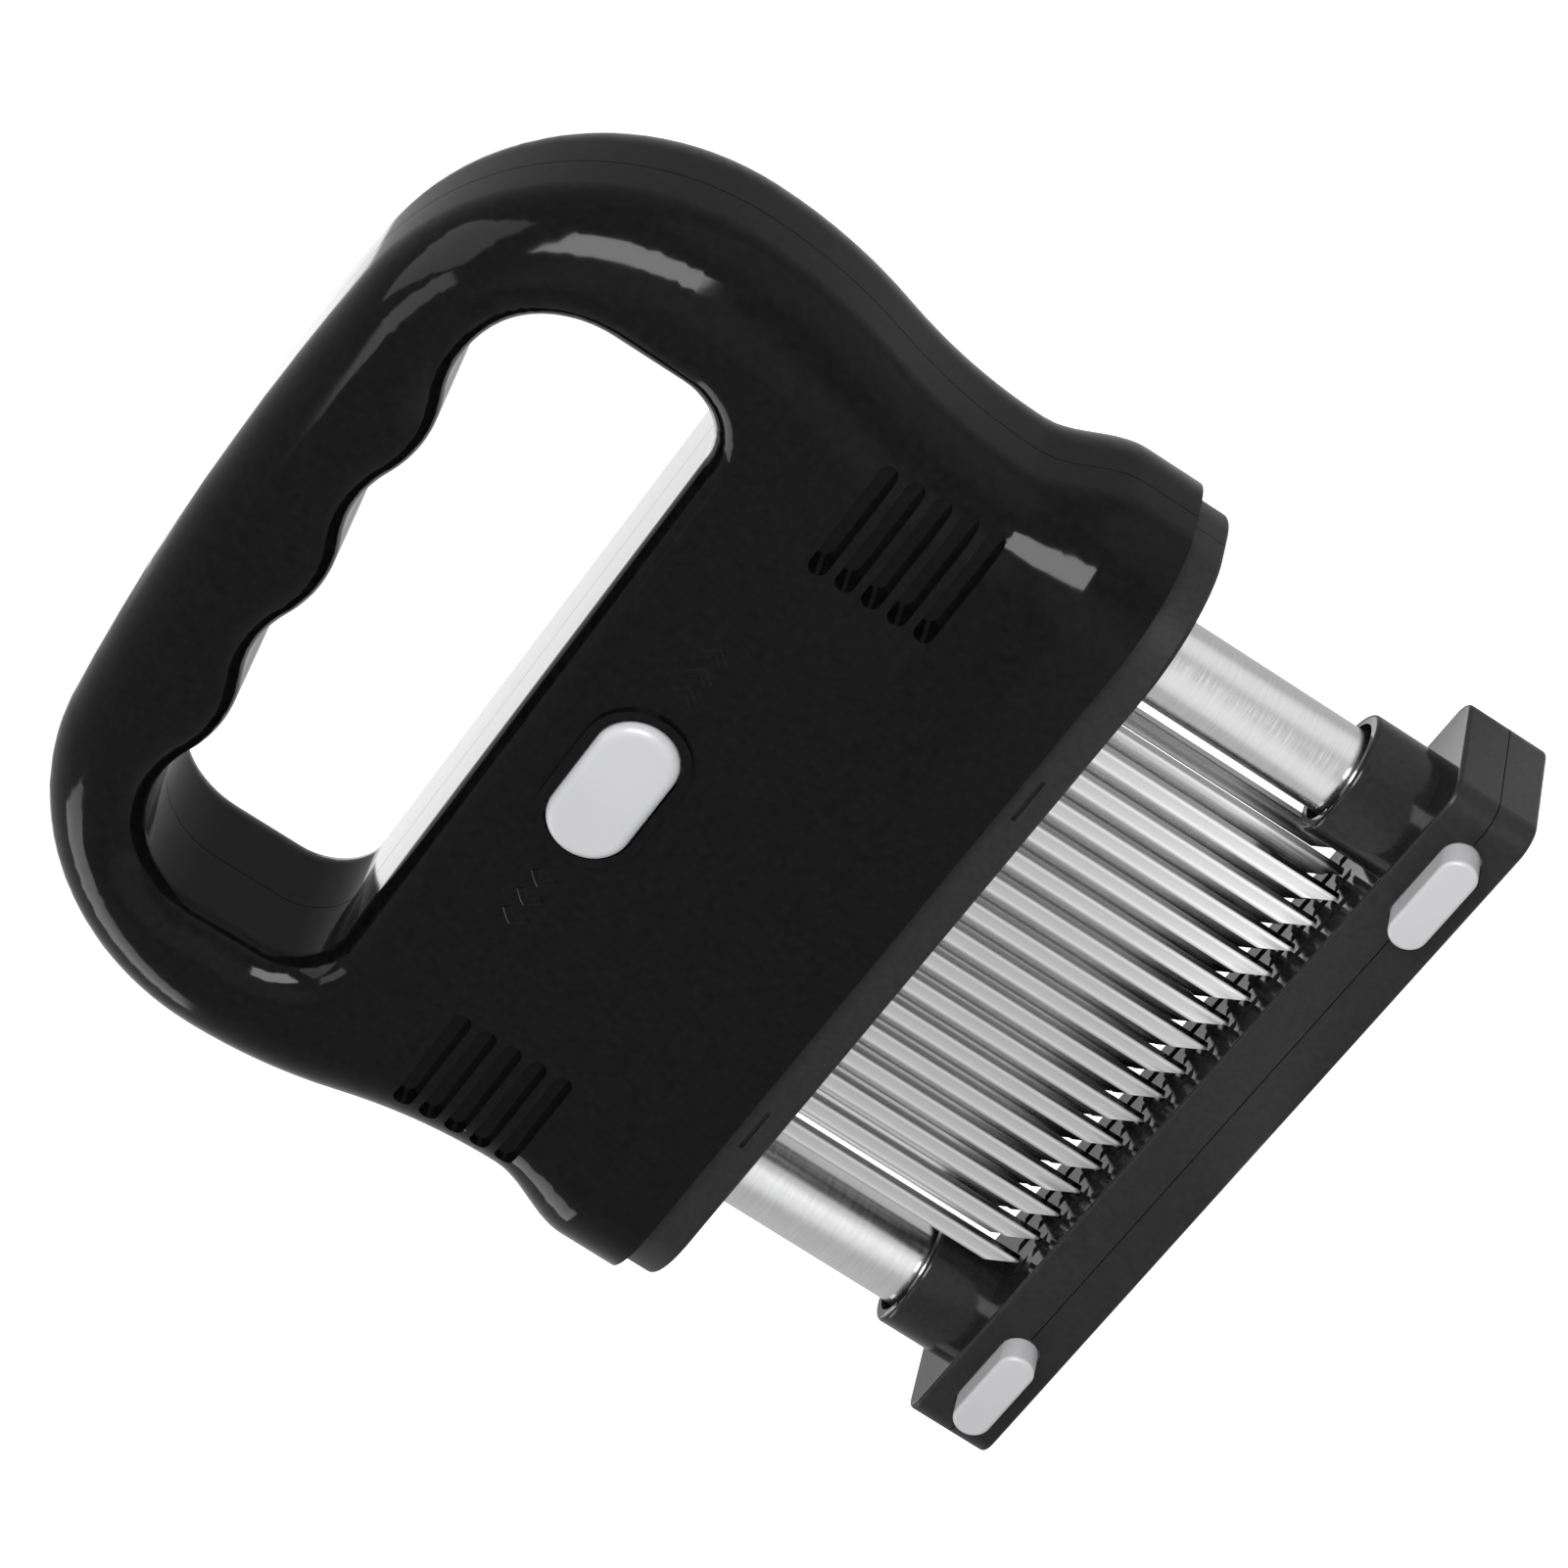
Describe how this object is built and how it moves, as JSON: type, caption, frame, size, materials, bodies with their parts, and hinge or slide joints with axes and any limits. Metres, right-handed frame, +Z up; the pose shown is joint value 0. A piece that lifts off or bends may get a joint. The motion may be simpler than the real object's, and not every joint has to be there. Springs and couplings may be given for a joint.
{
  "type": "blade meat tenderizer",
  "caption": "D-handled blade meat tenderizer: a spring-loaded foot slides on two tubes up a removable cartridge of rows of flat steel blades.",
  "frame": {"origin": "middle of the foot's underside", "axes": "+Z up from the foot to the grip, front face towards -Y, long side of the foot along X"},
  "size_m": [0.1206, 0.031, 0.1338],
  "materials": {
    "gloss_black": "polished moulded plastic",
    "satin_black": "satin moulded plastic",
    "collar_black": "semi-gloss moulded plastic",
    "light_grey": "satin moulded plastic",
    "holder_grey": "moulded plastic",
    "bush_white": "slippery natural plastic",
    "stainless": "brushed round the tube",
    "blade_steel": "polished strip",
    "spring_steel": "drawn wire",
    "screw_steel": "zinc plated"
  },
  "bodies": {
    "handle": {"front_shell": "gloss_black", "back_shell": "gloss_black", "shell_screws": "screw_steel", "left_spring": "spring_steel", "right_spring": "spring_steel"},
    "release_front": {"release_button_front": "light_grey"},
    "release_back": {"release_button_back": "light_grey"},
    "cartridge": {"cartridge_front": "satin_black", "cartridge_back": "satin_black", "blade_holder": "holder_grey", "blade_clamp_plate": "holder_grey", "blade_row_front": "blade_steel", "blade_row_middle": "blade_steel", "blade_row_back": "blade_steel", "left_guide_bush": "bush_white", "right_guide_bush": "bush_white"},
    "plunger": {"left_guide_tube": "stainless", "right_guide_tube": "stainless", "left_spring_seat": "holder_grey", "right_spring_seat": "holder_grey", "left_stop_ring": "screw_steel", "right_stop_ring": "screw_steel"},
    "foot": {"foot_upper_plate": "satin_black", "foot_lower_plate": "satin_black", "foot_screws": "screw_steel", "left_collar": "collar_black", "right_collar": "collar_black"},
    "latch_left": {"left_latch_button": "light_grey"},
    "latch_right": {"right_latch_button": "light_grey"}
  },
  "joints": [
    {"name": "cartridge_release", "type": "slide", "parent": "handle", "child": "cartridge", "axis": [0, 0, -1], "range_m": [0, 0.035]},
    {"name": "foot_press", "type": "slide", "parent": "cartridge", "child": "plunger", "axis": [0, 0, 1], "range_m": [0, 0.024], "stiffness_N_per_m": 500, "springref_m": -0.03, "deforming": ["left_spring", "right_spring"]},
    {"name": "foot_release", "type": "slide", "parent": "plunger", "child": "foot", "axis": [0, 0, -1], "range_m": [0, 0.014]},
    {"name": "release_front_press", "type": "slide", "parent": "handle", "child": "release_front", "axis": [0, 1, 0], "range_m": [0, 0.002], "stiffness_N_per_m": 800, "springref_m": -0.002},
    {"name": "release_back_press", "type": "slide", "parent": "handle", "child": "release_back", "axis": [0, -1, 0], "range_m": [0, 0.002], "stiffness_N_per_m": 800, "springref_m": -0.002},
    {"name": "latch_left_press", "type": "slide", "parent": "foot", "child": "latch_left", "axis": [0, 1, 0], "range_m": [0, 0.002], "stiffness_N_per_m": 600, "springref_m": -0.002},
    {"name": "latch_right_press", "type": "slide", "parent": "foot", "child": "latch_right", "axis": [0, 1, 0], "range_m": [0, 0.002], "stiffness_N_per_m": 600, "springref_m": -0.002}
  ]
}
